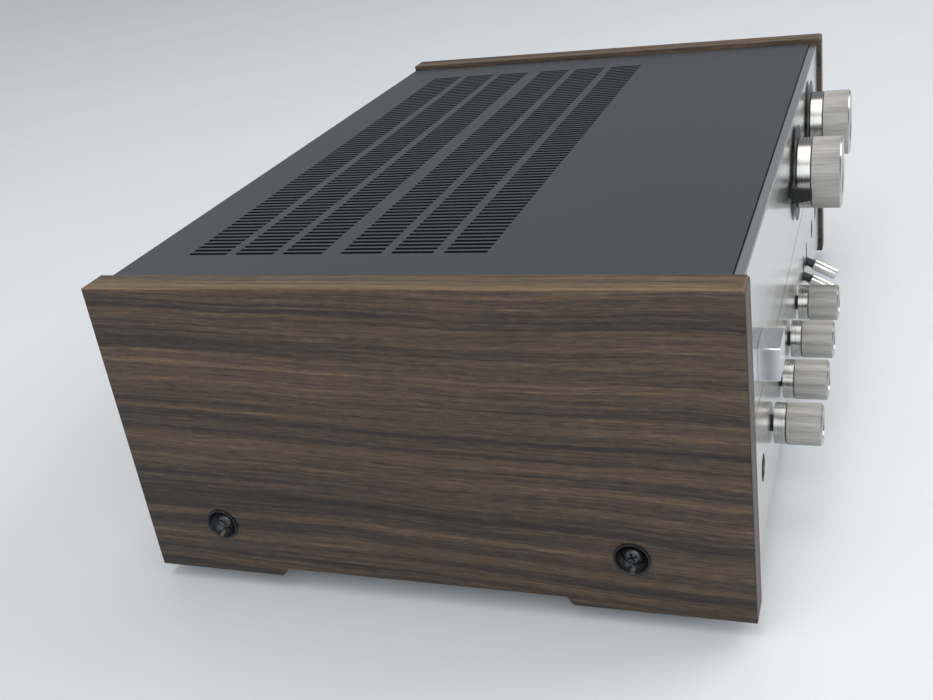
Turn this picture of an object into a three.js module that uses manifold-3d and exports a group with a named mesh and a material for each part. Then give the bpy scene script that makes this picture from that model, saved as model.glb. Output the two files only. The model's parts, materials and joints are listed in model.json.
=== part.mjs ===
// Integrated amplifier: wood-cheeked steel cabinet, aluminium front panel, turned knobs.
// Millimetres. +X towards the right-hand end for someone facing the knobs, -Y out of the front
// panel, +Z up. Inside the assembly group x = 0 is mid width, y = 0 is the middle of the wooden
// side panels and z = 0 is their lowest edge; the group moves all of it to the row's origin.
import * as THREE from 'three';
import { mergeGeometries, mergeVertices, toCreasedNormals }
  from 'three/addons/utils/BufferGeometryUtils.js';
import Module from 'manifold-3d';

const wasm = await Module();
wasm.setup();

// Cabinet
const WIDTH = 440;             // over the two wooden panels
const SIDE = { depth: 297.4, height: 153.6, thick: 15.8, chamfer: 1.2 };
const NOTCH = { front: -68.3, rear: 79, rise: 4.2, slope: 2.8 };
const INNER = WIDTH / 2 - SIDE.thick;
const FEET = { height: 15.7, radius: 15, x: 160, y: 108, drop: 8 };
const FLOOR = 8;               // underside of the steel chassis above the wood's lowest edge
const COVER = { top: 150.6, thick: 1.2, front: -141.1, rear: 148 };
const SHEET = 1.2;
const ROUNDNESS = 0.55;        // share of the side counts below that turned shapes are given
const REAR_Y = 146.4;          // outer face of the rear panel
const LENGTH_SHIFT = 5.7;      // puts the origin midway between the knobs' faces and the rear posts

// Ventilation slots in the top cover
const VENT = { count: 77, pitch: 4.5, width: 2.5, length: 20.6,
               rows: [110.7, 85, 59.4, 29.2, 3.6, -22] };

// Front panel and what is on it
const FACE = -146.2;
const PANEL = { thick: 4.3, bottom: 8.2, top: 150.4, groove: 79.6 };
const ROW_LOW = 42;
const ROW_HIGH = 119;
const BIG = { radius: 19.6, length: 22.9, skirt: 7.1, gap: 2.3, sides: 40, shaft: 3, x: [22, 120] };
const SMALL = { radius: 10.2, length: 22.2, skirt: 5.5, gap: 1.3, sides: 28, shaft: 3,
                x: [-122.3, -77, -30, 18.4] };
const RING = { radius: 26.6, thick: 0.5, gap: 1.4 };
const LEVER = { outer: 38.5, tab: 2.6, width: 8.8, tip: 6, reach: 9.7 };
const TOGGLE = { x: [68, 92], back: 8, angle: 28, capRadius: 3.5, capLength: 15.5, neck: 13.6 };
const BUTTON = { x: -160.5, z: 98, width: 21, height: 15.5, reach: 9.3 };
const JACKS = [{ x: -163, r: 6 }, { x: 138, r: 5.7 }, { x: 170, r: 5.7 }];
const CUP = { y: [-96.9, 106.6], z: 28, rim: 8.25, depth: 4.4, taper: 0.473 };

const facets = sides => Math.max(8, 2 * Math.round((sides * ROUNDNESS) / 2));

// Turns a three.js geometry into a solid, the right way out.
function solid(geometry) {
  const bare = new THREE.BufferGeometry();
  bare.setAttribute('position', geometry.getAttribute('position').clone());
  if (geometry.index) bare.setIndex(geometry.index.clone());
  const g = mergeVertices(bare, 1e-4);
  const p = g.getAttribute('position');
  const tri = [];
  let volume = 0;
  const a = new THREE.Vector3(), b = new THREE.Vector3(), c = new THREE.Vector3();
  for (let i = 0; i < g.index.count; i += 3) {
    const t = [g.index.getX(i), g.index.getX(i + 1), g.index.getX(i + 2)];
    if (t[0] === t[1] || t[1] === t[2] || t[0] === t[2]) continue;
    a.fromBufferAttribute(p, t[0]); b.fromBufferAttribute(p, t[1]); c.fromBufferAttribute(p, t[2]);
    volume += a.dot(b.clone().cross(c));
    tri.push(t);
  }
  const order = volume < 0 ? tri.map(t => [t[0], t[2], t[1]]) : tri;
  return new wasm.Manifold(new wasm.Mesh({ numProp: 3,
    vertProperties: new Float32Array(p.array), triVerts: new Uint32Array(order.flat()) }));
}

function geometryOf(body) {
  const m = body.getMesh();
  const g = new THREE.BufferGeometry();
  g.setAttribute('position', new THREE.BufferAttribute(new Float32Array(m.vertProperties), 3));
  g.setIndex(new THREE.BufferAttribute(new Uint32Array(m.triVerts), 1));
  return toCreasedNormals(g, 0.7);
}

const union = (...list) => list.reduce((a, b) => a.add(b));
const cut = (body, ...tools) => tools.reduce((a, b) => a.subtract(b), body);
const at = (body, x, y, z) => body.translate([x, y, z]);

// Block between two corners.
function block(x0, x1, y0, y1, z0, z1) {
  const g = new THREE.BoxGeometry(x1 - x0, y1 - y0, z1 - z0);
  g.translate((x0 + x1) / 2, (y0 + y1) / 2, (z0 + z1) / 2);
  return solid(g);
}

// Cylinder between two heights along an axis, with an optional second radius at its far end.
function rod(axis, radius, from, to, sides = 24, far = radius) {
  const g = new THREE.CylinderGeometry(far, radius, to - from, facets(sides));
  g.translate(0, (from + to) / 2, 0);
  if (axis === 'z') g.rotateX(Math.PI / 2);
  if (axis === 'x') g.rotateZ(-Math.PI / 2);
  return solid(g);
}

// Turned shape about Y from [radius, y] pairs that start and end on the axis.
const turned = (profile, sides) =>
  solid(new THREE.LatheGeometry(profile.map(([r, y]) => new THREE.Vector2(r, y)), facets(sides)));

function outline(points) {
  return new THREE.Shape(points.map(([u, v]) => new THREE.Vector2(u, v)));
}

function roundHole(u, v, r, sides = 28) {
  const points = [];
  const n = facets(sides);
  for (let i = 0; i < n; i++) {
    const t = (2 * Math.PI * i) / n;
    points.push(new THREE.Vector2(u + r * Math.cos(t), v + r * Math.sin(t)));
  }
  return new THREE.Path(points);
}

function boxHole(u0, u1, v0, v1) {
  return new THREE.Path([[u0, v0], [u1, v0], [u1, v1], [u0, v1]]
    .map(([u, v]) => new THREE.Vector2(u, v)));
}

// Slot with round ends, longer along v.
function longHole(u, v, halfWidth, halfLength, sides = 4) {
  const points = [];
  for (let k = 0; k < 2; k++) {
    for (let i = 0; i <= sides; i++) {
      const t = Math.PI * (k + i / sides);
      const up = k === 0 ? 1 : -1;
      points.push(new THREE.Vector2(u + halfWidth * Math.cos(t),
        v + up * (halfLength - halfWidth) + halfWidth * Math.sin(t)));
    }
  }
  return new THREE.Path(points);
}

// Plates drawn flat, given a thickness and punched: facing Z, facing Y, facing X.
function slab(shape, depth) {
  const extrude = (points, deep) => new THREE.ExtrudeGeometry(new THREE.Shape(points),
    { depth: deep, bevelEnabled: false });
  const outer = solid(extrude(shape.getPoints(), depth));
  return cut(outer, ...shape.holes.map(h => at(solid(extrude(h.getPoints(), depth + 2)), 0, 0, -1)));
}
const plateZ = (shape, z0, z1) => at(slab(shape, z1 - z0), 0, 0, z0);
const plateY = (shape, y0, y1) => at(slab(shape, y1 - y0).rotate([90, 0, 0]), 0, y1, 0);
const plateX = (shape, x0, x1) => at(slab(shape, x1 - x0).rotate([90, 0, 90]), x0, 0, 0);

const FINISH = {
  wood: [0x4a3527, 0.5, 0], blackSteel: [0x24272a, 0.5, 0.3], zinc: [0xb9bcbd, 0.4, 0.9],
  face: [0xc9cac6, 0.3, 1], knob: [0xbdbcb6, 0.32, 1], blackPlastic: [0x131416, 0.45, 0],
  chrome: [0xd8d8d6, 0.15, 1], rubber: [0x17171a, 0.85, 0],
  blackScrew: [0x1a1a1b, 0.4, 0.7], core: [0x6b6f73, 0.6, 0.7], copper: [0xa8632e, 0.45, 0.8],
  fins: [0x8d9092, 0.5, 0.9], sleeve: [0x1c3350, 0.5, 0], board: [0x3f5a33, 0.6, 0],
  can: [0xc4c4c0, 0.35, 0.9],
};

const assembly = new THREE.Group();
function node(name, body, finish, x = 0, y = 0, z = 0) {
  const [color, roughness, metalness] = FINISH[finish];
  const mesh = new THREE.Mesh(geometryOf(body),
    new THREE.MeshStandardMaterial({ color, roughness, metalness }));
  mesh.name = name;
  mesh.position.set(x, y, z);
  assembly.add(mesh);
  return mesh;
}
const SIDES = [['left', -1], ['right', 1]];

// Wooden side panels: notched along the bottom, bored for the cup screws.
function sidePanel() {
  const f = -SIDE.depth / 2, r = SIDE.depth / 2, c = SIDE.chamfer;
  const shape = outline([[f, 0], [NOTCH.front, 0], [NOTCH.front + NOTCH.slope, NOTCH.rise],
    [NOTCH.rear - NOTCH.slope, NOTCH.rise], [NOTCH.rear, 0], [r, 0], [r, SIDE.height],
    [f + c, SIDE.height], [f, SIDE.height - c]]);
  let body = plateX(shape, 0, SIDE.thick);
  for (const y of CUP.y) {
    const sink = CUP.depth + 0.5, wide = CUP.rim - 0.4;
    body = cut(body, at(rod('x', 2.6, -1, SIDE.thick + 1, 12), 0, y, CUP.z),
      at(rod('x', wide + CUP.taper, -1, sink, 24, wide - CUP.taper * sink), 0, y, CUP.z));
  }
  return body;
}
const leftPanel = sidePanel();
node('side_panel_left', leftPanel, 'wood', -WIDTH / 2, 0, 0);
node('side_panel_right', leftPanel.mirror([1, 0, 0]), 'wood', WIDTH / 2, 0, 0);

// Cup washer set in the wood, and the pan-head screw that stands in it. Both point along +X
// out of the panel's face at x = 0.
function cupWasher() {
  const mouth = CUP.rim - 0.9, wall = 0.9, foot = mouth - CUP.taper * (CUP.depth + 0.25);
  const profile = [[2.4, -CUP.depth], [foot, -CUP.depth], [mouth, 0.25], [CUP.rim, 0.25],
    [CUP.rim - 0.35, 1], [mouth - 0.15, 1], [foot - 0.6, wall - CUP.depth], [2.4, wall - CUP.depth],
    [2.4, -CUP.depth]];
  return turned(profile, 24).rotate([0, 0, -90]);
}
function sideScrew() {
  const head = turned([[0, -3.2], [3.9, -3.2], [3.9, -2.3], [3.2, -1.3], [2, -0.9], [0, -0.9]], 18);
  const cross = union(block(-2.3, 2.3, -2.1, 0, -0.45, 0.45), block(-0.45, 0.45, -2.1, 0, -2.3, 2.3));
  return union(cut(head, cross), rod('y', 1.9, -22, -3, 10)).rotate([0, 0, -90]);
}
const cup = cupWasher(), screw = sideScrew();
for (const [side, sign] of SIDES) {
  ['front', 'rear'].forEach((end, i) => {
    const put = body => (sign > 0 ? body : body.mirror([1, 0, 0]));
    node(`screw_cup_${side}_${end}`, put(cup), 'blackPlastic', sign * WIDTH / 2, CUP.y[i], CUP.z);
    node(`side_screw_${side}_${end}`, put(screw), 'blackScrew', sign * WIDTH / 2, CUP.y[i], CUP.z);
  });
}

// Top cover with its six rows of slots.
{
  const w = INNER - 0.4;
  const punches = [];
  for (const y of VENT.rows) {
    for (let i = 0; i < VENT.count; i++) {
      const x = (i - (VENT.count - 1) / 2) * VENT.pitch;
      punches.push(new THREE.BoxGeometry(VENT.width, VENT.length, 10).translate(x, y, COVER.top));
    }
  }
  const plate = block(-w, w, COVER.front, COVER.rear, COVER.top - COVER.thick, COVER.top);
  node('top_cover', cut(plate, solid(mergeGeometries(punches))), 'blackSteel');
}

// Steel chassis: bottom plate, two side plates, rear panel, sub-panel behind the front.
{
  const w = INNER - 0.4;
  const shape = outline([[-w, -140.8], [w, -140.8], [w, REAR_Y], [-w, REAR_Y]]);
  for (const sx of [-1, 1]) for (const sy of [-1, 1]) {
    shape.holes.push(roundHole(sx * FEET.x, sy * FEET.y, 2.2, 8));
  }
  for (let k = 0; k < 8; k++) {
    const x = (k - 3.5) * 16;
    shape.holes.push(boxHole(x - 2, x + 2, 20, 60));
  }
  node('bottom_plate', plateZ(shape, FLOOR, FLOOR + SHEET), 'zinc');
  for (const [side, sign] of SIDES) {
    const wall = outline([[-139.2, FLOOR + SHEET + 0.3], [REAR_Y - SHEET - 0.3, FLOOR + SHEET + 0.3],
      [REAR_Y - SHEET - 0.3, 149], [-139.2, 149]]);
    for (const y of CUP.y) wall.holes.push(roundHole(y, CUP.z, 2.5, 10));
    const x = sign * (w - SHEET / 2);
    node(`chassis_side_${side}`, plateX(wall, x - SHEET / 2, x + SHEET / 2), 'zinc');
  }
}

// Rear terminals, laid out as on a usual amplifier of this kind.
const REAR = {
  phono: { x: -150, z: 118, columns: 2, rows: 2 }, line: { x: -86, z: 118, columns: 4, rows: 2 },
  speakers: [{ x: 60 }, { x: 128 }], speakerZ: 60, inlet: { x: 172, z: 112 },
  ground: { x: -184, z: 118 }, pitch: 16,
};
{
  const w = INNER - 2;
  const shape = outline([[-w, FLOOR + SHEET + 0.3], [w, FLOOR + SHEET + 0.3], [w, 149], [-w, 149]]);
  for (const set of [REAR.phono, REAR.line]) {
    const hw = (set.columns * REAR.pitch) / 2 - 2, hh = (set.rows * REAR.pitch) / 2 - 2;
    shape.holes.push(boxHole(set.x - hw, set.x + hw, set.z - hh, set.z + hh));
  }
  for (const s of REAR.speakers) {
    shape.holes.push(boxHole(s.x - 22, s.x + 22, REAR.speakerZ - 8, REAR.speakerZ + 8));
  }
  shape.holes.push(boxHole(REAR.inlet.x - 14, REAR.inlet.x + 14, REAR.inlet.z - 10, REAR.inlet.z + 10));
  shape.holes.push(roundHole(REAR.ground.x, REAR.ground.z, 2.7, 10));
  node('rear_panel', plateY(shape, REAR_Y - SHEET, REAR_Y), 'blackSteel');
}

// Block of phono sockets: one moulding with a ring and a socket per channel.
function socketBlock({ columns, rows }) {
  const hw = (columns * REAR.pitch) / 2, hh = (rows * REAR.pitch) / 2;
  let body = union(block(-hw, hw, 0.3, 2.4, -hh, hh),
    block(-hw + 2.5, hw - 2.5, -9, 1, -hh + 2.5, hh - 2.5));
  for (let i = 0; i < columns; i++) for (let k = 0; k < rows; k++) {
    const x = (i - (columns - 1) / 2) * REAR.pitch, z = (k - (rows - 1) / 2) * REAR.pitch;
    body = cut(union(body, at(rod('y', 4.1, 2, 9.6, 12), x, 0, z)),
      at(rod('y', 1.7, 1.5, 12, 6), x, 0, z));
  }
  return body;
}
node('phono_sockets', socketBlock(REAR.phono), 'blackPlastic', REAR.phono.x, REAR_Y, REAR.phono.z);
node('line_sockets', socketBlock(REAR.line), 'blackPlastic', REAR.line.x, REAR_Y, REAR.line.z);

// Four binding posts on one moulded strip.
function postStrip() {
  let body = union(block(-27, 27, 0.3, 3, -11, 11), block(-20, 20, -7, 1, -6, 6));
  for (let i = 0; i < 4; i++) {
    const post = turned([[0, 2], [4.4, 2], [4.4, 8], [5.4, 8], [5.4, 13], [4.6, 13.6], [0, 13.6]], 10);
    body = union(body, at(post, (i - 1.5) * 12.6, 0, 0));
  }
  return body;
}
const posts = postStrip();
REAR.speakers.forEach((s, i) =>
  node(`speaker_posts_${i + 1}`, posts, 'blackPlastic', s.x, REAR_Y, REAR.speakerZ));
{
  const shell = union(block(-18, 18, 0.3, 2.6, -13, 13), block(-13.6, 13.6, -16, 1, -9.6, 9.6));
  const pins = [[-7, -4], [0, -1], [7, -4]].map(([x, z]) => block(x - 1, x + 1, -13.5, -2, z, z + 4));
  node('mains_inlet', union(cut(shell, block(-12, 12, -13, 4, -8, 8)), ...pins), 'blackPlastic',
    REAR.inlet.x, REAR_Y, REAR.inlet.z);
  node('ground_post', turned([[0, -6], [2, -6], [2, 0.3], [4.5, 0.3], [4.5, 2.6], [2.4, 2.6], [2.4, 4],
    [5, 4], [5, 13.2], [0, 13.2]], 12), 'chrome', REAR.ground.x, REAR_Y, REAR.ground.z);
}

// Openings that the front panel and the sub-panel share.
function frontHoles(shape, grow) {
  for (const x of BIG.x) shape.holes.push(roundHole(x, ROW_HIGH, 5.5 + grow, 18));
  for (const x of SMALL.x) shape.holes.push(roundHole(x, ROW_LOW, 4.8 + grow, 18));
  for (const j of JACKS) shape.holes.push(roundHole(j.x, ROW_LOW, j.r + 0.6 + grow, 28));
  for (const x of TOGGLE.x) shape.holes.push(longHole(x, ROW_LOW, 3.5 + grow, 9 + grow));
  const hw = BUTTON.width / 2 + 0.5 + grow, hh = BUTTON.height / 2 + 0.5 + grow;
  shape.holes.push(boxHole(BUTTON.x - hw, BUTTON.x + hw, BUTTON.z - hh, BUTTON.z + hh));
}
{
  const w = INNER - 0.4, b = 0.5;
  const shape = outline([[-w, PANEL.bottom], [w, PANEL.bottom], [w, PANEL.top], [-w, PANEL.top]]);
  frontHoles(shape, 0);
  const back = FACE + PANEL.thick;
  let body = plateY(shape, FACE, back);
  const bevel = outline([[FACE - 1, PANEL.top - b - 1], [FACE + b + 1, PANEL.top + 1],
    [FACE - 1, PANEL.top + 1]]);
  body = cut(body, plateX(bevel, -w - 1, w + 1),
    block(-w - 1, w + 1, FACE - 1, FACE + 0.5, PANEL.groove - 0.4, PANEL.groove + 0.4));
  for (const x of TOGGLE.x) body = cut(body, block(x - 0.25, x + 0.25, FACE - 1, FACE + 0.3, 52.5, 63));
  node('front_panel', body, 'face');

  const sub = outline([[-w + 1.6, FLOOR + SHEET + 0.3], [w - 1.6, FLOOR + SHEET + 0.3], [w - 1.6, 149],
    [-w + 1.6, 149]]);
  frontHoles(sub, 0.4);
  node('sub_panel', plateY(sub, back + 0.3, back + 0.3 + SHEET), 'zinc');
}
const BACK = FACE + PANEL.thick + 0.3 + SHEET;   // rear face of the sub-panel

// Feet under the chassis.
const foot = cut(turned([[0, 0], [FEET.radius - 1.5, 0], [FEET.radius, 1.5], [FEET.radius - 1.6, 15.7],
  [0, 15.7]], 20), rod('y', 4, -1, 7, 8)).rotate([90, 0, 0]);
for (const [side, sx] of SIDES) for (const [end, sy] of [['front', -1], ['rear', 1]]) {
  node(`foot_${side}_${end}`, foot, 'rubber', sx * FEET.x, sy * FEET.y, -FEET.drop);
}

// Knob about Y with its rear face at y = 0, pointing to -Y: smooth skirt, a fine groove, the
// grip, a chamfered face with an engraved line, and the shaft it is fixed to.
function knob({ radius, length, skirt, sides, shaft }, shaftLength) {
  const body = turned([[0, 0], [radius - 0.2, 0], [radius - 0.2, -skirt], [radius - 0.6, -skirt],
    [radius - 0.6, -skirt - 0.5], [radius, -skirt - 0.5], [radius, -length + 1.1],
    [radius - 1.1, -length], [radius * 0.62, -length], [radius * 0.6, -length + 0.5],
    [0, -length + 0.5]], sides);
  const line = block(-0.4, 0.4, -length - 1, -length + 0.35, radius * 0.64, radius - 1.4);
  return union(cut(body, line), rod('y', shaft, -1, shaftLength, 14));
}

// Control body behind the sub-panel with the threaded bushing that passes through the front.
function control(bodyRadius, depth, bushing, front, bore) {
  const body = union(rod('y', bodyRadius, 0.3, depth, 18), rod('y', bushing, front, 2, 18),
    block(-bodyRadius * 0.7, bodyRadius * 0.7, 2, 5, -bodyRadius - 8, -bodyRadius * 0.6));
  return cut(body, rod('y', bore, front - 1, depth - 3, 14));
}

const SHAFT_IN = BACK - FACE + 8;
const bigKnob = knob(BIG, BIG.gap + SHAFT_IN);
['volume', 'selector'].forEach((name, i) => {
  node(`${name}_knob`, bigKnob, 'knob', BIG.x[i], FACE - BIG.gap, ROW_HIGH);
  node(`${name}_control`, control(15, i ? 30 : 24, 4.7, FACE - 1.6 - BACK, 3.3), 'zinc',
    BIG.x[i], BACK, ROW_HIGH);
});
const smallKnob = knob(SMALL, SMALL.gap + SHAFT_IN);
const smallControl = control(9.5, 16, 4, FACE - 1 - BACK, 3.3);
['speaker', 'bass', 'treble', 'mode'].forEach((name, i) => {
  node(`${name}_knob`, smallKnob, 'knob', SMALL.x[i], FACE - SMALL.gap, ROW_LOW);
  node(`${name}_control`, smallControl, 'blackPlastic', SMALL.x[i], BACK, ROW_LOW);
});

// Thin disc behind the volume knob with the balance lever on it: an arm in the disc's own plane
// and a tab bent forward at its end. The selector has the same disc without an arm.
{
  const rear = FACE - RING.gap, front = rear - RING.thick;
  const disc = cut(rod('y', RING.radius, front, rear, 56), rod('y', 5.3, front - 1, rear + 1, 20));
  const w = LEVER.width / 2, t = LEVER.tip / 2, f = front - LEVER.reach;
  const arm = plateY(outline([[-LEVER.outer, -w], [-20, -w - 2], [-20, w + 2], [-LEVER.outer, w]]),
    front, rear);
  const tab = plateX(outline([[rear, -w], [rear, w], [f, t], [f, -t]]),
    -LEVER.outer, LEVER.tab - LEVER.outer);
  node('balance_lever', union(disc, arm, tab), 'blackPlastic', BIG.x[0], 0, ROW_HIGH);
  node('selector_ring', disc, 'blackPlastic', BIG.x[1], 0, ROW_HIGH);
}

// Lever switches: black neck on a pivot behind the panel, metal cap, switch frame behind.
const neckBody = union(rod('y', 2.2, 0, TOGGLE.neck + 4, 12), rod('x', 3, -2.6, 2.6, 12),
  rod('y', 2.5, 8.6, TOGGLE.neck, 12, 2.8));
const capBody = cut(turned([[0, 0], [TOGGLE.capRadius - 0.4, 0], [TOGGLE.capRadius, 0.4],
  [TOGGLE.capRadius, TOGGLE.capLength - 0.6], [TOGGLE.capRadius - 0.6, TOGGLE.capLength],
  [0, TOGGLE.capLength]], 20), rod('y', 2.5, -1, 4.6, 12));
const turnToggle = body => body.rotate([0, 0, 180]).rotate([TOGGLE.angle, 0, 0]);
TOGGLE.x.forEach((x, i) => {
  const y = FACE + TOGGLE.back;
  node(`toggle_neck_${i + 1}`, turnToggle(neckBody), 'blackPlastic', x, y, ROW_LOW);
  node(`toggle_cap_${i + 1}`, turnToggle(at(capBody, 0, TOGGLE.neck + 0.3, 0)), 'chrome', x, y, ROW_LOW);
  const frame = cut(block(-6, 6, 0, 24, -11, 11), block(-3, 3, -1, 10, -9.5, 9.5));
  node(`toggle_switch_${i + 1}`, frame, 'blackPlastic', x, BACK + 0.3, ROW_LOW);
});

// Power button and the switch it works.
{
  const w = BUTTON.width / 2, h = BUTTON.height / 2, b = 0.5;
  const shape = outline([[-w + b, -h], [w - b, -h], [w, -h + b], [w, h - b], [w - b, h], [-w + b, h],
    [-w, h - b], [-w, -h + b]]);
  const key = union(plateY(shape, -BUTTON.reach, BACK - FACE + 1), rod('y', 2.5, 5, BACK - FACE + 8, 10));
  node('power_button', key, 'face', BUTTON.x, FACE, BUTTON.z);
  const housing = cut(block(-9, 9, 6, 34, -9, 9), rod('y', 2.9, 5, 20, 12));
  node('power_switch', housing, 'blackPlastic', BUTTON.x, BACK, BUTTON.z);
}

// Headphone and dubbing jacks.
JACKS.forEach((j, i) => {
  const end = FACE - BACK + 0.8;   // set back a little from the face of the panel
  const nose = turned([[0, 2], [j.r, 2], [j.r, end + 0.5], [j.r - 0.5, end], [0, end]], 24);
  const body = cut(union(nose, block(-8.5, 8.5, 0.3, 26, -8.5, 8.5)), rod('y', 3.3, -9, 22, 16));
  node(['phones_jack', 'dubbing_jack_1', 'dubbing_jack_2'][i], body, 'blackPlastic', j.x, BACK, ROW_LOW);
});

// Inside: transformer, heat sink with its output transistors, capacitors, circuit boards.
const DECK = FLOOR + SHEET;
{
  const core = cut(block(-45, 45, -36, 36, 0, 76), block(-30, -14, -40, 40, 14, 62),
    block(14, 30, -40, 40, 14, 62));
  node('transformer_core', core, 'core', -136, 58, DECK + 0.3);
  const coil = cut(block(-29.6, 29.6, -50, 50, 14.4, 61.6), block(-14.3, 14.3, -36.3, 36.3, 0, 80));
  node('transformer_coil', coil, 'copper', -136, 58, DECK + 0.3);

  const span = 110, fins = 18, fin = 2, pitch = (2 * span - fin) / (fins - 1);
  const comb = [[-span, 0], [span, 0]];
  for (let i = fins - 1; i >= 0; i--) {
    const x = i * pitch - span;
    comb.push(...(i < fins - 1 ? [[x + fin, 6]] : []), [x + fin, 34], [x, 34], ...(i ? [[x, 6]] : []));
  }
  node('heat_sink', plateZ(outline(comb), 0, 104), 'fins', 62, 16, DECK + 22);
  const can = turned([[0, 0], [12, 0], [12, -1.6], [9.6, -1.6], [9.6, -8.6], [0, -8.6]], 16);
  [12, 112].forEach((x, i) => node(`output_transistor_${i + 1}`, can, 'can', x, 15.6, 86));
  const capacitor = turned([[0, 0], [17.5, 0], [17.5, 58], [16.4, 59.4], [14, 59.4], [13.6, 58.6],
    [0, 58.6]], 20).rotate([90, 0, 0]);
  [-62, -20].forEach((x, i) =>
    node(`filter_capacitor_${i + 1}`, capacitor, 'sleeve', x, -42, DECK + 8.4));

  const parts = (list, top) => list.map(([x, y, w, d, h]) => block(x - w / 2, x + w / 2, y - d / 2,
    y + d / 2, top - 0.4, top + h));
  node('main_board', union(block(-160, 160, -38, 38, 0, 1.6),
    ...parts([[60, 0, 18, 12, 16], [92, -18, 12, 12, 14], [120, 12, 24, 10, 10], [30, 22, 14, 8, 9],
      [-110, -10, 20, 20, 20], [-140, 14, 12, 12, 18], [-120, 22, 30, 6, 8],
      [140, -20, 10, 10, 12]], 1.6)),
  'board', 20, -44, DECK + 6.4);
}

const amplifier = new THREE.Group();
assembly.position.set(0, LENGTH_SHIFT, FEET.drop);
amplifier.add(assembly);
amplifier.updateMatrixWorld(true);
export default amplifier;
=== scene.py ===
import json
import math
import bpy
import bmesh
from mathutils import Vector, Matrix


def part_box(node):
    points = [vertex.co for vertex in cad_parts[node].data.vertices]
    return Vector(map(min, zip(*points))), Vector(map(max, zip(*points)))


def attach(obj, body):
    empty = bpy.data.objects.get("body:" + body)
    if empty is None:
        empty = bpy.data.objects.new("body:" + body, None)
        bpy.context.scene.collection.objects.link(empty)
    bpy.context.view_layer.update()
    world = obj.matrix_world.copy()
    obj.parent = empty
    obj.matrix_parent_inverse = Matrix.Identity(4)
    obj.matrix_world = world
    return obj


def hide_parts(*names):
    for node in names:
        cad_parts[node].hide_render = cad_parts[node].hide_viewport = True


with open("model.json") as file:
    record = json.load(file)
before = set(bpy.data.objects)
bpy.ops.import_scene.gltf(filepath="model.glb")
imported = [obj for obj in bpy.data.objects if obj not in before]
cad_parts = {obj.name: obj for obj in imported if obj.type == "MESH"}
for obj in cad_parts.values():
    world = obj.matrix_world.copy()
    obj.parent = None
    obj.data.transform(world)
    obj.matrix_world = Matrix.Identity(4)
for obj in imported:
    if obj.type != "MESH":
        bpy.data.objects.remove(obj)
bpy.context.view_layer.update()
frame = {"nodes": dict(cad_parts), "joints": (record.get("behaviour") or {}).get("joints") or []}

scene = bpy.context.scene
JOINTS = {j["name"]: j for j in frame["joints"]}

# Sizes in millimetres. Meshes are in metres, so whatever goes into them is multiplied by MM.
MM = 0.001
VENT = {"count": 77, "pitch": 4.5, "width": 2.5, "length": 20.6, "shift": 5.7,
        "rows": [110.7, 85.0, 59.4, 29.2, 3.6, -22.0]}
BIG = {"radius": 19.6, "gap": 2.3, "skirt": 7.1, "teeth": 216}
SMALL = {"radius": 10.2, "gap": 1.3, "skirt": 5.5, "teeth": 112}
SHAFT, KNURL_DEPTH = 3.0, 0.11
CUP = {"rim": 8.25, "mouth": 7.35, "foot": 5.15, "depth": 4.4, "lip": 1.0}
SCREW = {"head": 3.9, "thread": 1.85, "core": 1.45, "long": 21.8, "arm": 2.3, "slot": 0.45}
TOGGLE = {"angle": 28, "neck": 13.6, "cap": 15.5, "radius": 3.5}
LEVER = {"outer": 38.5, "tab": 2.6, "width": 8.8, "tip": 6.0}
DISC = {"hole": 5.3, "thick": 0.5}
JACK_BODY = 25.7
PHONO = {"pitch": 16, "reach": 9.6, "margin": 2.5}
POST = {"pitch": 12.6, "reach": 13.6, "count": 4}


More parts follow.
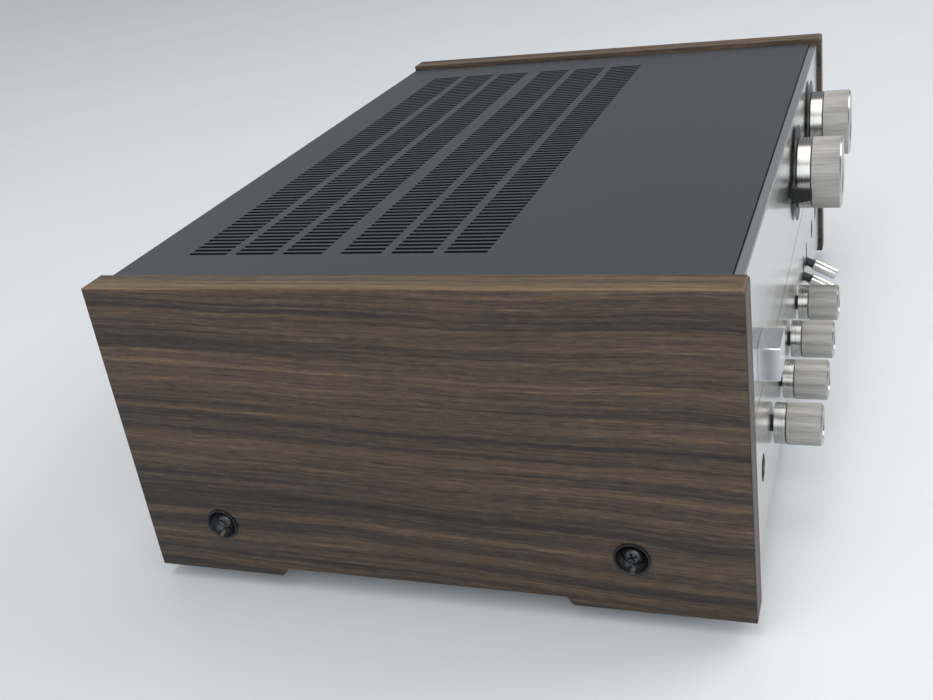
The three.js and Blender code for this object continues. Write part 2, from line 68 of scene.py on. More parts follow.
# ---------------------------------------------------------------- material helpers
class Graph:
    """A material's node tree with short calls for making and joining nodes."""

    def __init__(self, name):
        self.mat = bpy.data.materials.new(name)
        self.mat.use_nodes = True
        self.tree = self.mat.node_tree
        self.bsdf = self.tree.nodes["Principled BSDF"]
        self.coord = self.tree.nodes.new("ShaderNodeTexCoord").outputs["Object"]

    def put(self, socket, value):
        """Joins an output to the socket, or sets its value. A colour may lack its alpha."""
        if hasattr(value, "is_output"):
            self.tree.links.new(value, socket)
        elif value is not None:
            socket.default_value = (*value, 1) if socket.type == "RGBA" else value

    def node(self, kind, inputs=None, **settings):
        n = self.tree.nodes.new(kind)
        for k, v in settings.items():
            setattr(n, k, v)
        for k, v in (inputs or {}).items():
            self.put(n.inputs[k], v)
        return n

    def scaled(self, scale, source=None, offset=(0, 0, 0)):
        n = self.node("ShaderNodeMapping", {"Vector": source or self.coord, "Scale": scale,
                                            "Location": offset})
        return n.outputs[0]

    def noise(self, vector, detail=4.0, rough=0.5):
        n = self.node("ShaderNodeTexNoise", {"Vector": vector, "Scale": 1.0, "Detail": detail,
                                             "Roughness": rough})
        return n.outputs["Fac"]

    def ramp(self, fac, stops):
        n = self.node("ShaderNodeValToRGB", {"Fac": fac})
        ramp = n.color_ramp.elements
        while len(ramp) < len(stops):
            ramp.new(0.5)
        for e, (at, colour) in zip(ramp, stops):
            e.position = at
            e.color = (*colour, 1) if hasattr(colour, "__len__") else (colour, colour, colour, 1)
        return n.outputs["Color"]

    def math(self, op, a, b=None, c=None, clamp=False):
        n = self.node("ShaderNodeMath", operation=op, use_clamp=clamp)
        for i, v in enumerate((a, b, c)):
            self.put(n.inputs[i], v)
        return n.outputs[0]

    def mix(self, fac, a, b, mode="MIX"):
        n = self.node("ShaderNodeMix", data_type="RGBA", blend_type=mode)
        self.put(n.inputs["Factor"], fac)
        self.put(n.inputs[6], a)
        self.put(n.inputs[7], b)
        return n.outputs[2]

    def spread(self, fac, low, high):
        """Carries 0 to 1 over to low to high."""
        n = self.node("ShaderNodeMapRange", {"Value": fac, "To Min": low, "To Max": high})
        return n.outputs[0]

    def stretch(self, fac, low, high):
        """Carries low to high over to 0 to 1."""
        n = self.node("ShaderNodeMapRange", {"Value": fac, "From Min": low, "From Max": high})
        return n.outputs[0]

    def bump(self, height, strength, distance):
        n = self.node("ShaderNodeBump", {"Height": height, "Strength": strength, "Distance": distance})
        return n.outputs[0]

    def done(self, colour, rough, metal=0.0, normal=None, **extra):
        self.put(self.bsdf.inputs["Base Color"], colour)
        self.put(self.bsdf.inputs["Roughness"], rough)
        self.put(self.bsdf.inputs["Metallic"], metal)
        self.put(self.bsdf.inputs["Normal"], normal)
        for k, v in extra.items():
            self.bsdf.inputs[k.replace("_", " ")].default_value = v
        return self.mat


def walnut():
    """Dark walnut veneer. Its grain runs along Y and falls a little towards the front, and it stands
    upright on the boards' front and rear edges. The top face carries painted light: it is made lighter
    to stand for the light falling on it from above."""
    g = Graph("walnut_veneer")
    lo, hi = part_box("side_panel_left")
    top_edge = hi.z - 0.35 * MM
    end_edge = (hi.y - lo.y) / 2 - 0.3 * MM
    parts = g.node("ShaderNodeSeparateXYZ", {"Vector": g.coord})
    x, y, z = (parts.outputs[k] for k in "XYZ")
    up = g.math("MULTIPLY_ADD", y, -0.030, z)
    for scale, reach in (((1.0, 2.6, 5.0), 22), ((4.0, 13.0, 24.0), 3.2), ((30.0, 75.0, 110.0), 1.1)):
        bend = g.math("SUBTRACT", g.noise(g.scaled(scale), 2), 0.5)
        up = g.math("MULTIPLY_ADD", bend, reach * MM, up)
    top = g.math("GREATER_THAN", z, top_edge)
    from_middle = g.math("ABSOLUTE", g.math("SUBTRACT", y, (lo.y + hi.y) / 2))
    ends = g.math("GREATER_THAN", from_middle, end_edge)
    wide = g.math("MULTIPLY", x, 1.6)
    lengthwise = g.node("ShaderNodeCombineXYZ", {"X": 0.0, "Y": y,
                                                 "Z": g.math("MULTIPLY_ADD", wide, top, up)}).outputs[0]
    upright = g.node("ShaderNodeCombineXYZ", {"X": 0.0, "Y": z, "Z": wide}).outputs[0]
    pick = g.node("ShaderNodeMix", {"Factor": ends, 4: lengthwise, 5: upright}, data_type="VECTOR")
    flow = pick.outputs[1]

    def layer(along, over, detail, rough, shift, low, high):
        """Noise with so many cells a metre along and over the grain, in full contrast."""
        return g.stretch(g.noise(g.scaled((0, along, over), flow, shift), detail, rough), low, high)

    zones = layer(0.8, 30, 2, 0.6, (0, 0, 0), 0.28, 0.72)
    bands = layer(1.6, 170, 4, 0.66, (3, 1, 2), 0.25, 0.75)
    streaks = layer(4.5, 560, 3, 0.6, (5, 3, 1), 0.28, 0.72)
    fibre = layer(30, 1500, 3, 0.7, (7, 2, 9), 0.30, 0.70)
    fleck = layer(130, 800, 3, 0.7, (4, 6, 2), 0.30, 0.70)
    pores = layer(70, 2300, 2, 0.5, (1, 8, 4), 0.27, 0.40)
    tone = 0.0
    for part, share in ((bands, 0.34), (zones, 0.24), (streaks, 0.16), (fibre, 0.12), (fleck, 0.14)):
        tone = g.math("MULTIPLY_ADD", part, share, tone)
    colour = g.ramp(tone, [(0.30, (0.026, 0.018, 0.0155)), (0.425, (0.046, 0.032, 0.0240)),
                           (0.51, (0.072, 0.049, 0.0340)), (0.595, (0.106, 0.071, 0.0455)),
                           (0.72, (0.172, 0.115, 0.070))])
    darker = g.mix(1.0, colour, (0.45, 0.43, 0.42), "MULTIPLY")
    colour = g.mix(g.math("MULTIPLY", g.math("SUBTRACT", 1.0, fibre), 0.45), colour, darker)
    # painted light: the top face is lightened here to stand for the light falling on it from above
    painted_top_light = g.mix(1.0, colour, (1.75, 1.75, 1.62), "MULTIPLY")
    colour = g.mix(g.math("MULTIPLY", top, 0.9), colour, painted_top_light)
    pit = g.math("SUBTRACT", 1.0, pores, clamp=True)
    colour = g.mix(g.math("MULTIPLY", pit, 0.55), colour, (0.011, 0.008, 0.007))
    height = g.math("SUBTRACT", g.math("MULTIPLY", fibre, 0.5), pit)
    return g.done(colour, g.spread(streaks, 0.42, 0.55), 0, g.bump(height, 0.20, 0.00010),
                  Specular_IOR_Level=0.30)


def cover_paint():
    """Satin charcoal paint on sheet steel, with a very fine texture."""
    g = Graph("cover_paint")
    cloud = g.noise(g.scaled((9, 9, 9)), 3)
    grit = g.noise(g.scaled((2600, 2600, 2600)), 2, 0.6)
    colour = g.mix(cloud, (0.040, 0.0445, 0.0485), (0.050, 0.055, 0.060))
    return g.done(colour, g.spread(cloud, 0.42, 0.50), 0.0, g.bump(grit, 0.10, 0.00005),
                  Specular_IOR_Level=0.50)


def brushed(name, colour, along, rough=0.3, strength=0.12, dark=0.85):
    """Aluminium brushed along one axis. along counts the streaks' cells a metre on X, Y and Z."""
    g = Graph(name)
    streak = g.noise(g.scaled(along), 4, 0.65)
    broad = g.noise(g.scaled(tuple(0.08 * s for s in along), None, (2, 3, 4)), 3)
    tone = g.math("ADD", g.math("MULTIPLY", streak, 0.6), g.math("MULTIPLY", broad, 0.4))
    shade = g.mix(tone, tuple(c * dark for c in colour), colour)
    return g.done(shade, g.spread(streak, rough - 0.07, rough + 0.09), 1.0,
                  g.bump(streak, strength, 0.00002))


def turned_metal(name, colour, rough, along, strength, dark):
    """Aluminium turned about Y. along sets whether its marks ring the axis or run with it."""
    g = Graph(name)
    ring = g.stretch(g.noise(g.scaled(along), 3, 0.6), 0.3, 0.7)
    haze = g.noise(g.scaled((60, 60, 60)), 3)
    shade = g.mix(ring, tuple(c * dark for c in colour), colour)
    shade = g.mix(haze, g.mix(1.0, shade, (0.93, 0.93, 0.93), "MULTIPLY"), shade)
    return g.done(shade, g.spread(ring, rough - 0.04, rough + 0.08), 1.0,
                  g.bump(ring, strength, 0.00001))


def plastic(name, colour, rough=0.42, grain=0.25, specular=0.5):
    """Moulded plastic, clouded a little and finely grained."""
    g = Graph(name)
    cloud = g.noise(g.scaled((70, 70, 70)), 3)
    grit = g.noise(g.scaled((3200, 3200, 3200)), 2, 0.6)
    shade = g.mix(cloud, tuple(c * 0.85 for c in colour), tuple(c * 1.2 for c in colour))
    return g.done(shade, g.spread(cloud, rough - 0.06, rough + 0.08), 0, g.bump(grit, grain, 0.00003),
                  Specular_IOR_Level=specular)


def plain_metal(name, colour, rough, metal=1.0, grain=0.15, size=900):
    """Plated or cast metal without a direction."""
    g = Graph(name)
    cloud = g.noise(g.scaled((35, 35, 35)), 4, 0.55)
    grit = g.noise(g.scaled((size, size, size)), 3, 0.6)
    shade = g.mix(cloud, tuple(c * 0.82 for c in colour), colour)
    return g.done(shade, g.spread(cloud, rough - 0.06, rough + 0.10), metal,
                  g.bump(grit, grain, 0.00004))


def windings():
    """Enamelled copper wire, one turn above the other."""
    g = Graph("winding")
    turn = g.node("ShaderNodeTexWave", {"Vector": g.coord, "Scale": 330.0, "Distortion": 0.4},
                  bands_direction="Z").outputs["Fac"]
    tint = g.noise(g.scaled((40, 40, 40)), 3)
    shade = g.mix(tint, (0.30, 0.12, 0.045), (0.46, 0.20, 0.08))
    return g.done(shade, g.spread(turn, 0.28, 0.45), 0.8, g.bump(turn, 0.5, 0.0004))


def laminated():
    """Stacked sheets of a transformer core."""
    g = Graph("core_plates")
    sheet = g.node("ShaderNodeTexWave", {"Vector": g.coord, "Scale": 260.0, "Distortion": 0.2},
                   bands_direction="Y").outputs["Fac"]
    shade = g.mix(g.noise(g.scaled((50, 50, 50)), 3), (0.10, 0.105, 0.11), (0.17, 0.17, 0.175))
    return g.done(shade, 0.55, 0.6, g.bump(sheet, 0.5, 0.0003))


def circuit():
    """Green board with paler tracks."""
    g = Graph("circuit_board")
    cells = g.node("ShaderNodeTexVoronoi", {"Vector": g.scaled((160, 160, 20)), "Scale": 1.0},
                   feature="DISTANCE_TO_EDGE").outputs["Distance"]
    track = g.ramp(cells, [(0.06, 1.0), (0.12, 0.0)])
    base = g.mix(g.noise(g.scaled((30, 30, 30)), 3), (0.055, 0.095, 0.035), (0.085, 0.135, 0.05))
    shade = g.mix(g.math("MULTIPLY", track, 0.5), base, (0.16, 0.21, 0.08))
    return g.done(shade, 0.4, 0, g.bump(track, 0.2, 0.0001))


M = {
    "walnut": walnut(), "cover": cover_paint(),
    "face": brushed("face_aluminium", (0.82, 0.815, 0.79), (5, 700, 700), 0.22, 0.4, 0.60),
    "skirt": turned_metal("skirt_aluminium", (0.50, 0.495, 0.475), 0.22, (8, 3600, 8), 0.2, 0.86),
    "grip": turned_metal("grip_aluminium", (0.50, 0.485, 0.455), 0.46, (1700, 60, 1700), 0.6, 0.62),
    "button": brushed("button_aluminium", (0.76, 0.775, 0.79), (900, 6, 900), 0.22, 0.05),
    "cap": brushed("cap_plating", (0.66, 0.64, 0.61), (900, 8, 900), 0.26, 0.05),
    "nickel": plain_metal("nickel", (0.66, 0.64, 0.60), 0.2, 1.0, 0.05),
    "black": plastic("black_plastic", (0.012, 0.0125, 0.014), 0.38),
    "cup": plastic("cup_black", (0.006, 0.006, 0.007), 0.22, 0.05, 0.4),
    "disc": plastic("disc_black", (0.011, 0.011, 0.012), 0.40, 0.1, 0.3),
    "hollow": plastic("socket_black", (0.006, 0.006, 0.007), 0.70, 0.1, 0.1),
    # painted shade: the slot walls are the same charcoal paint, made near-black to stand for the shade
    # inside the slots
    "slot": plastic("slot_wall_painted_shade", (0.006, 0.0065, 0.007), 0.70, 0.1, 0.2),
    "red": plastic("red_plastic", (0.30, 0.018, 0.014), 0.35, 0.1),
    "white": plastic("white_plastic", (0.62, 0.62, 0.60), 0.40, 0.1),
    "screw": plain_metal("black_screw", (0.075, 0.078, 0.082), 0.24, 0.8, 0.2),
    "zinc": plain_metal("zinc_steel", (0.58, 0.59, 0.60), 0.32, 1.0, 0.12, 300),
    "rubber": plastic("foot_rubber", (0.018, 0.018, 0.019), 0.72, 0.5),
    "sink": brushed("sink_aluminium", (0.42, 0.43, 0.44), (900, 900, 6), 0.42, 0.2),
    "can": plain_metal("transistor_can", (0.66, 0.66, 0.64), 0.26),
    "sleeve": plastic("capacitor_sleeve", (0.015, 0.035, 0.075), 0.30, 0.1),
    "winding": windings(), "core": laminated(), "board": circuit(),
}


# ---------------------------------------------------------------- mesh helpers
def piece(name, bm, materials, body, node, smooth=True, angle=32):
    """Makes an object of the mesh with its finishes, and lets it stand for a CAD node on a body."""
    bmesh.ops.recalc_face_normals(bm, faces=bm.faces)
    mesh = bpy.data.meshes.new(name)
    bm.to_mesh(mesh)
    bm.free()
    o = bpy.data.objects.new(name, mesh)
    scene.collection.objects.link(o)
    for m in materials:
        mesh.materials.append(M[m])
    if smooth:
        mesh.shade_smooth()
        mesh.set_sharp_from_angle(angle=math.radians(angle))
    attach(o, body)
    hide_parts(node)
    return o


def bevel(o, width, angle):
    """Softens every edge sharper than the angle. The width is in millimetres."""
    m = o.modifiers.new("bevel", "BEVEL")
    m.width, m.segments, m.limit_method, m.angle_limit = width * MM, 2, "ANGLE", math.radians(angle)
    m.harden_normals = True
    m.use_clamp_overlap = True


def revolve(bm, profile, steps, place, wobble=None, material=0):
    """Turns [radius, height] pairs, in millimetres, about the Z axis of the placing matrix.
    wobble(i, step) adds to the radius."""
    rings = []
    for i, (r, h) in enumerate(profile):
        if r < 1e-6:
            rings.append([bm.verts.new(place @ Vector((0, 0, h * MM)))])
            continue
        ring = []
        for s in range(steps):
            t = 2 * math.pi * s / steps
            q = (r + (wobble(i, s) if wobble else 0)) * MM
            ring.append(bm.verts.new(place @ Vector((q * math.cos(t), q * math.sin(t), h * MM))))
        rings.append(ring)
    for r0, r1 in zip(rings, rings[1:]):
        for s in range(steps):
            n = (s + 1) % steps
            corners = (r0[s % len(r0)], r0[n % len(r0)], r1[n % len(r1)], r1[s % len(r1)])
            loop = list(dict.fromkeys(corners))
            if len(loop) > 2:
                bm.faces.new(loop).material_index = material
    return rings


def weld(bm):
    bmesh.ops.remove_doubles(bm, verts=bm.verts, dist=1e-6)


def place_at(point, direction):
    """Matrix that puts the origin at a point and Z along a direction."""
    return Matrix.Translation(point) @ Vector(direction).to_track_quat("Z", "Y").to_matrix().to_4x4()


def loop_of(bm, points):
    verts = [bm.verts.new(p) for p in points]
    return verts, [bm.edges.new((a, b)) for a, b in zip(verts, verts[1:] + verts[:1])]


def sheet_between(bm, loops):
    """Flat face bounded by the first loop of points and pierced by the others."""
    made = [loop_of(bm, points) for points in loops]
    bmesh.ops.triangle_fill(bm, use_beauty=True, edges=[e for _, edges in made for e in edges])
    return [verts for verts, _ in made]


def walls(bm, low, high):
    for i in range(len(low)):
        n = (i + 1) % len(low)
        bm.faces.new((low[i], low[n], high[n], high[i]))


def circle(radius, steps, height, place):
    angles = [2 * math.pi * s / steps for s in range(steps)]
    return [place @ (Vector((radius * math.cos(t), radius * math.sin(t), height)) * MM) for t in angles]


def middle(node):
    lo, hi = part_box(node)
    return (lo + hi) / 2


def rectangle(lo, hi, margin=0.0):
    """Outline of a box seen along Y, in metres, drawn in by a margin."""
    return [(lo.x + margin, lo.z + margin), (hi.x - margin, lo.z + margin),
            (hi.x - margin, hi.z - margin), (lo.x + margin, hi.z - margin)]


def prism(bm, outline, axis, a, b, material=0):
    """Closed prism: outline pairs in the plane across axis, from a to b along it."""
    def point(u, v, w):
        return {"x": (w, u, v), "y": (u, w, v), "z": (u, v, w)}[axis]
    low = [bm.verts.new(point(u, v, a)) for u, v in outline]
    high = [bm.verts.new(point(u, v, b)) for u, v in outline]
    faces = [bm.faces.new(low), bm.faces.new(high[::-1])]
    for i in range(len(low)):
        n = (i + 1) % len(low)
        faces.append(bm.faces.new((low[i], high[i], high[n], low[n])))
    for f in faces:
        f.material_index = material


# ---------------------------------------------------------------- top cover
def top_cover():
    """Slotted steel sheet: a grid whose odd cells are left open, thickened, with near-black painted
    shade on the slot walls.
    """
    lo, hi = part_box("top_cover")
    xs = [lo.x]
    for i in range(VENT["count"]):
        x = (i - (VENT["count"] - 1) / 2) * VENT["pitch"]
        xs += [(x - VENT["width"] / 2) * MM, (x + VENT["width"] / 2) * MM]
    xs.append(hi.x)
    ys = [lo.y]
    for row in sorted(VENT["rows"]):
        y = row + VENT["shift"]
        ys += [(y - VENT["length"] / 2) * MM, (y + VENT["length"] / 2) * MM]
    ys.append(hi.y)
    bm = bmesh.new()
    grid = [[bm.verts.new((x, y, hi.z)) for y in ys] for x in xs]
    for i in range(len(xs) - 1):
        for j in range(len(ys) - 1):
            if i % 2 and j % 2:
                continue
            bm.faces.new((grid[i][j], grid[i + 1][j], grid[i + 1][j + 1], grid[i][j + 1]))
    o = piece("top_cover_sheet", bm, ["cover", "slot"], "chassis", "top_cover", smooth=False)
    sheet = o.modifiers.new("sheet", "SOLIDIFY")
    # the rim material gives the slot walls their painted shade
    sheet.thickness, sheet.offset, sheet.material_offset_rim = hi.z - lo.z, -1, 1
    bevel(o, 0.12, 35)


# ---------------------------------------------------------------- knobs
def knob(name, spec):
    """Smooth turned skirt, a dark groove, a finely knurled grip and a chamfered, dished face."""
    node = f"{name}_knob"
    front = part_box(node)[0].y
    axis = Vector(JOINTS[f"{name}_turn"]["pos_m"])
    rear = axis.y - spec["gap"] * MM
    length = (rear - front) / MM
    r, skirt = spec["radius"], spec["skirt"]
    place = place_at((axis.x, rear, axis.z), (0, -1, 0))
    turned, edge = r - 0.2, 0.2
    bm = bmesh.new()
    revolve(bm, [(0, 0), (r - 1.2, 0), (turned - edge, 0), (turned, edge), (turned, skirt - edge),
                 (turned - edge, skirt), (r - 0.7, skirt), (0, skirt)], 160, place)

    def tooth(i, s):
        return -KNURL_DEPTH if s % 4 in (2, 3) and 1 < i < 6 else 0

    start, end = skirt + 0.25, length - 0.9
    revolve(bm, [(0, start), (r - 0.6, start), (r - 0.15, start + 0.1), (r, start + 0.3),
                 (r, end - 0.2), (r - 0.05, end), (r - 0.3, end + 0.1)],
            spec["teeth"] * 4, place, tooth, 1)
    revolve(bm, [(r - 0.3, end - 0.3), (r - 0.3, end + 0.1), (r - 1.1, length - 0.04),
                 (r - 1.35, length), (r * 0.64, length), (r * 0.60, length - 0.5),
                 (0, length - 0.5)], 160, place)
    revolve(bm, [(0, 1), (SHAFT, 1), (SHAFT, -8), (0, -8)], 32, place)
    half_line = 0.4 * MM
    z0, z1 = axis.z + r * 0.66 * MM, axis.z + (r - 1.5) * MM
    prism(bm, [(axis.x - half_line, z0), (axis.x + half_line, z0), (axis.x + half_line, z1),
               (axis.x - half_line, z1)], "y", front, front + 0.3 * MM, 2)
    piece(f"{name}_knob_turned", bm, ["skirt", "grip", "black"], name, node, angle=24)


# ---------------------------------------------------------------- cup washers and screws
def screw_cup(node, sign):
    """Conical black cup with a thin rolled lip, let into the wood."""
    lo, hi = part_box(node)
    c = middle(node)
    face = (hi.x if sign > 0 else lo.x) - sign * CUP["lip"] * MM
    place = place_at((face, c.y, c.z), (sign, 0, 0))
    rim, mouth, foot, depth = (CUP[k] for k in ("rim", "mouth", "foot", "depth"))
    bm = bmesh.new()
    revolve(bm, [(2.4, -depth), (foot, -depth), (mouth, 0.25), (rim - 0.08, 0.25), (rim, 0.35),
                 (rim, 0.6), (rim - 0.15, 0.88), (rim - 0.45, 1.0), (mouth + 0.15, 0.97),
                 (mouth - 0.1, 0.75), (mouth - 0.35, 0.1), (foot - 0.5, 0.9 - depth),
                 (foot - 0.9, 0.75 - depth), (2.4, 0.75 - depth), (2.4, -depth)], 72, place)
    weld(bm)
    piece(f"{node}_rolled", bm, ["cup"], "chassis", node, angle=40)


def side_screw(node, sign, turn):
    """Pan-head screw with a cross recess, its thread running into the panel. Heights are taken
    from a plane 0.9 mm outside the head."""
    lo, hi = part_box(node)
    c = middle(node)
    face = (hi.x if sign > 0 else lo.x) + sign * 0.9 * MM
    place = place_at((face, c.y, c.z), (sign, 0, 0)) @ Matrix.Rotation(turn, 4, "Z")
    head, thread, core, long = (SCREW[k] for k in ("head", "thread", "core", "long"))
    half_pitch = 0.4
    profile = [(0, -long), (1.5, -long)]
    profile += [(thread if k % 2 else core, half_pitch * (k + 1) - long) for k in range(40)]
    profile += [(thread, -5), (thread, -3.2), (head - 0.1, -3.2), (head, -3.1), (head, -2.3),
                (head - 0.12, -1.85), (head - 0.5, -1.4), (head - 0.95, -1.1), (head - 1.15, -1.0)]
    bm = bmesh.new()
    rings = revolve(bm, profile, 48, place)
    a, b = SCREW["arm"], SCREW["slot"]
    cross = [(a, -b), (a, b), (b, b), (b, a), (-b, a), (-b, b), (-a, b), (-a, -b), (-b, -b), (-b, -a),
             (b, -a), (b, -b)]

    def cross_at(size, height):
        return [place @ Vector((u * size * MM, v * size * MM, height * MM)) for u, v in cross]

    edge, slot = sheet_between(bm, [circle(2.6, 48, -0.9, place), cross_at(1, -0.9)])
    walls(bm, rings[-1], edge)
    recess = [bm.verts.new(p) for p in cross_at(0.62, -2.1)]
    walls(bm, slot, recess)
    bm.faces.new(recess)
    piece(f"{node}_turned", bm, ["screw"], "chassis", node, angle=35)


# ---------------------------------------------------------------- lever switches, sockets, feet
def toggle(i):
    """Black neck and plated cap of a lever switch, both about the lever's own axis."""
    joint, body = JOINTS[f"toggle_{i}_flip"], f"toggle_{i}"
    t = math.radians(TOGGLE["angle"])
    place = place_at(joint["pos_m"], (0, -math.cos(t), -math.sin(t)))
    n, r, long = TOGGLE["neck"], TOGGLE["radius"], TOGGLE["cap"]
    bm = bmesh.new()
    revolve(bm, [(0, 0), (2.2, 0), (2.2, 8.4), (2.45, 8.6), (2.75, n - 0.2), (2.6, n), (2.2, n),
                 (2.2, n + 3.9), (0, n + 3.9)], 48, place)
    pin = place_at(joint["pos_m"], (1, 0, 0))
    revolve(bm, [(0, -2.6), (2.8, -2.6), (2.95, -2.4), (2.95, 2.4), (2.8, 2.6), (0, 2.6)], 40, pin)
    piece(f"toggle_neck_{i}_moulded", bm, ["black"], body, f"toggle_neck_{i}", angle=40)
    bm = bmesh.new()
    s = n + 0.3
    e = s + long
    revolve(bm, [(0, s + 4.6), (2.5, s + 4.6), (2.5, s + 0.1), (2.6, s), (r - 0.25, s),
                 (r - 0.05, s + 0.15), (r, s + 0.4), (r, e - 0.7), (r - 0.12, e - 0.35),
                 (r - 0.5, e - 0.05), (r - 0.8, e), (0, e)], 64, place)
    piece(f"toggle_cap_{i}_plated", bm, ["cap"], body, f"toggle_cap_{i}", angle=40)


def jack(node, radius):
    """Round nose of a jack socket with its bore, on the square body behind the panel."""
    lo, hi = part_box(node)
    c = middle(node)
    place = place_at((c.x, lo.y, c.z), (0, 1, 0))
    back = (hi.y - lo.y) / MM
    root = back - JACK_BODY
    bm = bmesh.new()
    revolve(bm, [(0, back - 4), (3.3, back - 4), (3.3, 0.5), (3.6, 0.12), (3.9, 0), (radius - 0.5, 0),
                 (radius - 0.15, 0.15), (radius, 0.5), (radius, root)], 64, place)
    square = rectangle(lo, hi)
    near = [Vector((u, lo.y + root * MM, v)) for u, v in square]
    corner, _ = sheet_between(bm, [near, circle(radius, 64, root, place)])
    far = [bm.verts.new((u, hi.y, v)) for u, v in square]
    walls(bm, corner, far)
    bm.faces.new(far)
    weld(bm)
    piece(f"{node}_moulded", bm, ["hollow"], "chassis", node, angle=35)


def thin_disc(node, joint, body, lever):
    """Black disc thinning to a fine edge; with a lever, an arm in its plane and a tab bent forward."""
    lo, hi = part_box(node)
    c = Vector(JOINTS[joint]["pos_m"])
    radius = (hi.x - c.x) / MM
    hole, thick = DISC["hole"], DISC["thick"]
    place = place_at((c.x, hi.y, c.z), (0, -1, 0))
    bm = bmesh.new()
    revolve(bm, [(hole, 0), (radius - 0.1, 0), (radius, 0.08), (radius - 0.1, 0.16), (22, 0.44),
                 (20, thick), (hole, thick), (hole, 0)], 128, place)
    weld(bm)
    if lever:
        w, t, out = LEVER["width"] / 2 * MM, LEVER["tip"] / 2 * MM, LEVER["outer"] * MM
        a, b, flare = c.x - out, c.x - 21 * MM, 2 * MM
        prism(bm, [(a, c.z - w), (b, c.z - w - flare), (b, c.z + w + flare), (a, c.z + w)], "y",
              hi.y - 0.48 * MM, hi.y - 0.02 * MM)
        prism(bm, [(hi.y, c.z - w), (hi.y, c.z + w), (lo.y, c.z + t), (lo.y, c.z - t)], "x", a,
              a + LEVER["tab"] * MM)
    bevel(piece(f"{node}_formed", bm, ["disc"], body, node, angle=25), 0.08, 50)


def foot(node):
    """Moulded foot, a little narrower at the top, hollow where its screw goes."""
    lo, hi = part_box(node)
    c = middle(node)
    r, tall = (hi.x - lo.x) / 2 / MM, (hi.z - lo.z) / MM
    place = place_at((c.x, c.y, lo.z), (0, 0, 1))
    bm = bmesh.new()
    revolve(bm, [(0, 7), (4, 7), (4, 0.4), (4.5, 0), (r - 1.9, 0), (r - 0.9, 0.25), (r - 0.25, 0.9),
                 (r, 1.7), (r - 1.3, tall - 0.4), (r - 1.7, tall), (0, tall)], 72, place)
    piece(f"{node}_moulded", bm, ["rubber"], "chassis", node, angle=35)


def socket_block(node, columns, rows):
    """Black moulding with a nickel ring and a coloured insulator for every channel."""
    lo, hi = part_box(node)
    c = middle(node)
    base = hi.y - PHONO["reach"] * MM
    bm = bmesh.new()
    prism(bm, rectangle(lo, hi), "y", base + 0.3 * MM, base + 2.4 * MM)
    prism(bm, rectangle(lo, hi, PHONO["margin"] * MM), "y", lo.y, base + 0.3 * MM)
    for i in range(columns):
        for k in range(rows):
            x = c.x + (i - (columns - 1) / 2) * PHONO["pitch"] * MM
            z = c.z + (k - (rows - 1) / 2) * PHONO["pitch"] * MM
            place = place_at((x, base, z), (0, 1, 0))
            revolve(bm, [(6.6, 2.3), (6.6, 3.1), (6.3, 3.3), (4.1, 3.3), (4.1, 9.3), (3.9, 9.6),
                         (3.5, 9.6), (3.3, 9.3), (3.3, 5)], 40, place, material=1)
            revolve(bm, [(3.4, 7.6), (1.9, 7.6), (1.7, 7.4), (1.7, 1.6), (0, 1.6)], 40, place,
                    material=2 if k else 3)
    piece(f"{node}_moulded", bm, ["black", "nickel", "white", "red"], "chassis", node, angle=35)


def speaker_posts(node):
    """Four screw-down posts, red and black in turn, on one moulded strip."""
    lo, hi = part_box(node)
    c = middle(node)
    base = hi.y - POST["reach"] * MM
    bm = bmesh.new()
    prism(bm, rectangle(lo, hi), "y", base + 0.3 * MM, base + 3 * MM)
    half = Vector((20, 0, 6)) * MM
    prism(bm, rectangle(c - half, c + half), "y", lo.y, base + 0.3 * MM)

    def rib(i, s):
        return -0.35 if s % 4 in (2, 3) and 4 < i < 8 else 0

    for i in range(POST["count"]):
        x = c.x + (i - (POST["count"] - 1) / 2) * POST["pitch"] * MM
        place = place_at((x, base, c.z), (0, 1, 0))
        revolve(bm, [(0, 2), (4.4, 2), (4.4, 7.6), (4.9, 8), (5.2, 8.1), (5.4, 8.4), (5.4, 12.6),
                     (5.2, 13), (4.6, 13.5), (4.2, 13.6), (0, 13.6)], 72, place, rib, i % 2)
    piece(f"{node}_moulded", bm, ["black", "red"], "chassis", node, angle=35)


def finish_cad(node, material, width=0.0):
    """Gives a kept CAD node its finish, and softens its edges."""
    o = frame["nodes"][node]
    for s in o.material_slots:
        s.link = "OBJECT"
        s.material = M[material]
    if width:
        bevel(o, width, 30)


# ---------------------------------------------------------------- the amplifier
top_cover()
for name in ("volume", "selector"):
    knob(name, BIG)
for name in ("speaker", "bass", "treble", "mode"):
    knob(name, SMALL)
for i in (1, 2):
    toggle(i)
thin_disc("balance_lever", "volume_turn", "balance", True)
thin_disc("selector_ring", "selector_turn", "chassis", False)
for node, radius in (("phones_jack", 6.0), ("dubbing_jack_1", 5.7), ("dubbing_jack_2", 5.7)):
    jack(node, radius)
socket_block("phono_sockets", 2, 2)
socket_block("line_sockets", 4, 2)
speaker_posts("speaker_posts_1")
speaker_posts("speaker_posts_2")
for side, sign in (("left", -1), ("right", 1)):
    for end, turn in (("front", 0.35), ("rear", 0.75)):
        screw_cup(f"screw_cup_{side}_{end}", sign)
        side_screw(f"side_screw_{side}_{end}", sign, turn)
        foot(f"foot_{side}_{end}")

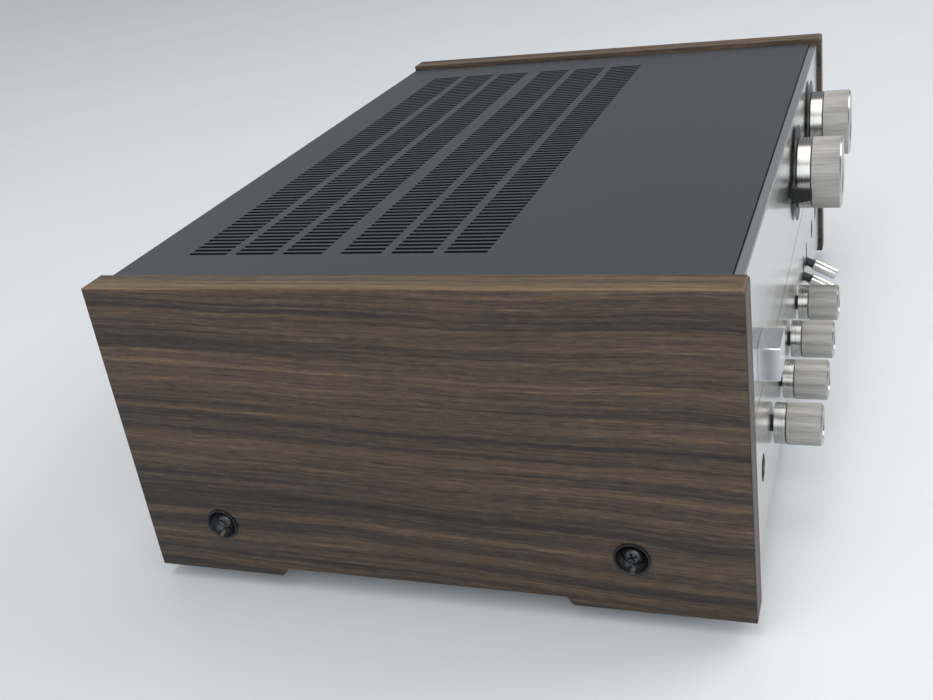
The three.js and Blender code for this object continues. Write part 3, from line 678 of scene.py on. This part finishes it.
# CAD nodes that stay: finish, and the width of the softened edges in millimetres
KEPT = {
    "side_panel_left": ("walnut", 0.6), "side_panel_right": ("walnut", 0.6),
    "front_panel": ("face", 0.15), "power_button": ("button", 0.3), "rear_panel": ("cover", 0.1),
    "bottom_plate": ("zinc", 0.1), "chassis_side_left": ("zinc", 0), "chassis_side_right": ("zinc", 0),
    "sub_panel": ("zinc", 0), "volume_control": ("zinc", 0), "selector_control": ("zinc", 0),
    "speaker_control": ("black", 0), "bass_control": ("black", 0), "treble_control": ("black", 0),
    "mode_control": ("black", 0), "toggle_switch_1": ("black", 0), "toggle_switch_2": ("black", 0),
    "mains_inlet": ("black", 0.2), "ground_post": ("nickel", 0.1), "power_switch": ("black", 0),
    "transformer_core": ("core", 0.3), "transformer_coil": ("winding", 1.0), "heat_sink": ("sink", 0.1),
    "output_transistor_1": ("can", 0.1), "output_transistor_2": ("can", 0.1),
    "filter_capacitor_1": ("sleeve", 0.2), "filter_capacitor_2": ("sleeve", 0.2),
    "main_board": ("board", 0.1),
}
for node, (material, width) in KEPT.items():
    finish_cad(node, material, width)


# ---------------------------------------------------------------- floor, light and camera
FLOOR_REACH = 6.0
LIGHTS = {
    "ceiling": {"at": (-0.35, 0.1, 2.2), "to": (-0.05, 0, 0), "size": (0.8, 2.6), "watts": 18,
                "tint": (1, 0.985, 0.96)},
    "softbox": {"at": (1.7, -2.1, 1.9), "to": (0, 0, 0), "size": (2.4, 1.8), "watts": 55,
                "tint": (0.98, 0.99, 1)},
    "window": {"at": (-2.3, -1.0, 1.5), "to": (0, 0, 0.1), "size": (2.8, 1.8), "watts": 28,
               "tint": (0.93, 0.97, 1)},
}
SKY = [(0.0, (0.66, 0.71, 0.77)), (0.28, (0.48, 0.51, 0.55)), (0.75, (0.36, 0.36, 0.355))]
CAMERA = {"at": (-0.61508, -0.19563, 0.33523), "turn": (64.6638, 7.9209, -70.9824),
          "sensor": 36.0, "lens": 44.394}


def floor():
    bm = bmesh.new()
    s = FLOOR_REACH
    bm.faces.new([bm.verts.new(p) for p in ((-s, -s, 0), (s, -s, 0), (s, s, 0), (-s, s, 0))])
    mesh = bpy.data.meshes.new("floor")
    bm.to_mesh(mesh)
    bm.free()
    o = bpy.data.objects.new("floor", mesh)
    scene.collection.objects.link(o)
    g = Graph("floor_white")
    haze = g.noise(g.scaled((6, 6, 6)), 2)
    g.done(g.mix(haze, (0.77, 0.80, 0.83), (0.80, 0.83, 0.86)), g.spread(haze, 0.22, 0.28), 0,
           Specular_IOR_Level=0.35)
    mesh.materials.append(g.mat)


def studio():
    """Soft surroundings: pale and bluish at the horizon, greyer overhead, dimmer to the right."""
    world = bpy.data.worlds.new("studio")
    scene.world = world
    world.use_nodes = True
    tree = world.node_tree
    backdrop = tree.nodes["Background"]
    direction = tree.nodes.new("ShaderNodeTexCoord").outputs["Generated"]
    split = tree.nodes.new("ShaderNodeSeparateXYZ")
    tree.links.new(direction, split.inputs[0])
    ramp = tree.nodes.new("ShaderNodeValToRGB")
    tree.links.new(split.outputs["Z"], ramp.inputs["Fac"])
    tree.links.new(ramp.outputs["Color"], backdrop.inputs["Color"])
    stops = ramp.color_ramp.elements
    stops.new(0.5)
    for stop, (at, colour) in zip(stops, SKY):
        stop.position, stop.color = at, (*colour, 1)
    side = tree.nodes.new("ShaderNodeVectorMath")
    side.operation = "DOT_PRODUCT"
    side.inputs[1].default_value = (0.85, -0.5, 0)
    tree.links.new(direction, side.inputs[0])
    fall = tree.nodes.new("ShaderNodeMapRange")
    for key, value in (("From Min", -0.7), ("From Max", 0.9), ("To Min", 1.45), ("To Max", 0.52)):
        fall.inputs[key].default_value = value
    tree.links.new(side.outputs["Value"], fall.inputs["Value"])
    tree.links.new(fall.outputs[0], backdrop.inputs["Strength"])


def area(name, spec):
    light = bpy.data.lights.new(name, "AREA")
    light.shape, (light.size, light.size_y) = "RECTANGLE", spec["size"]
    light.energy, light.color = spec["watts"], spec["tint"]
    o = bpy.data.objects.new(name, light)
    scene.collection.objects.link(o)
    at, to = Vector(spec["at"]), Vector(spec["to"])
    o.location = at
    o.rotation_euler = (to - at).to_track_quat("-Z", "Y").to_euler()


def camera():
    lens = bpy.data.cameras.new("camera")
    lens.sensor_width, lens.lens, lens.clip_start = CAMERA["sensor"], CAMERA["lens"], 0.01
    o = bpy.data.objects.new("camera", lens)
    scene.collection.objects.link(o)
    o.location = CAMERA["at"]
    o.rotation_euler = [math.radians(a) for a in CAMERA["turn"]]
    return o


floor()
studio()
for name, spec in LIGHTS.items():
    area(name, spec)
scene.camera = camera()
scene.view_settings.view_transform = "Standard"
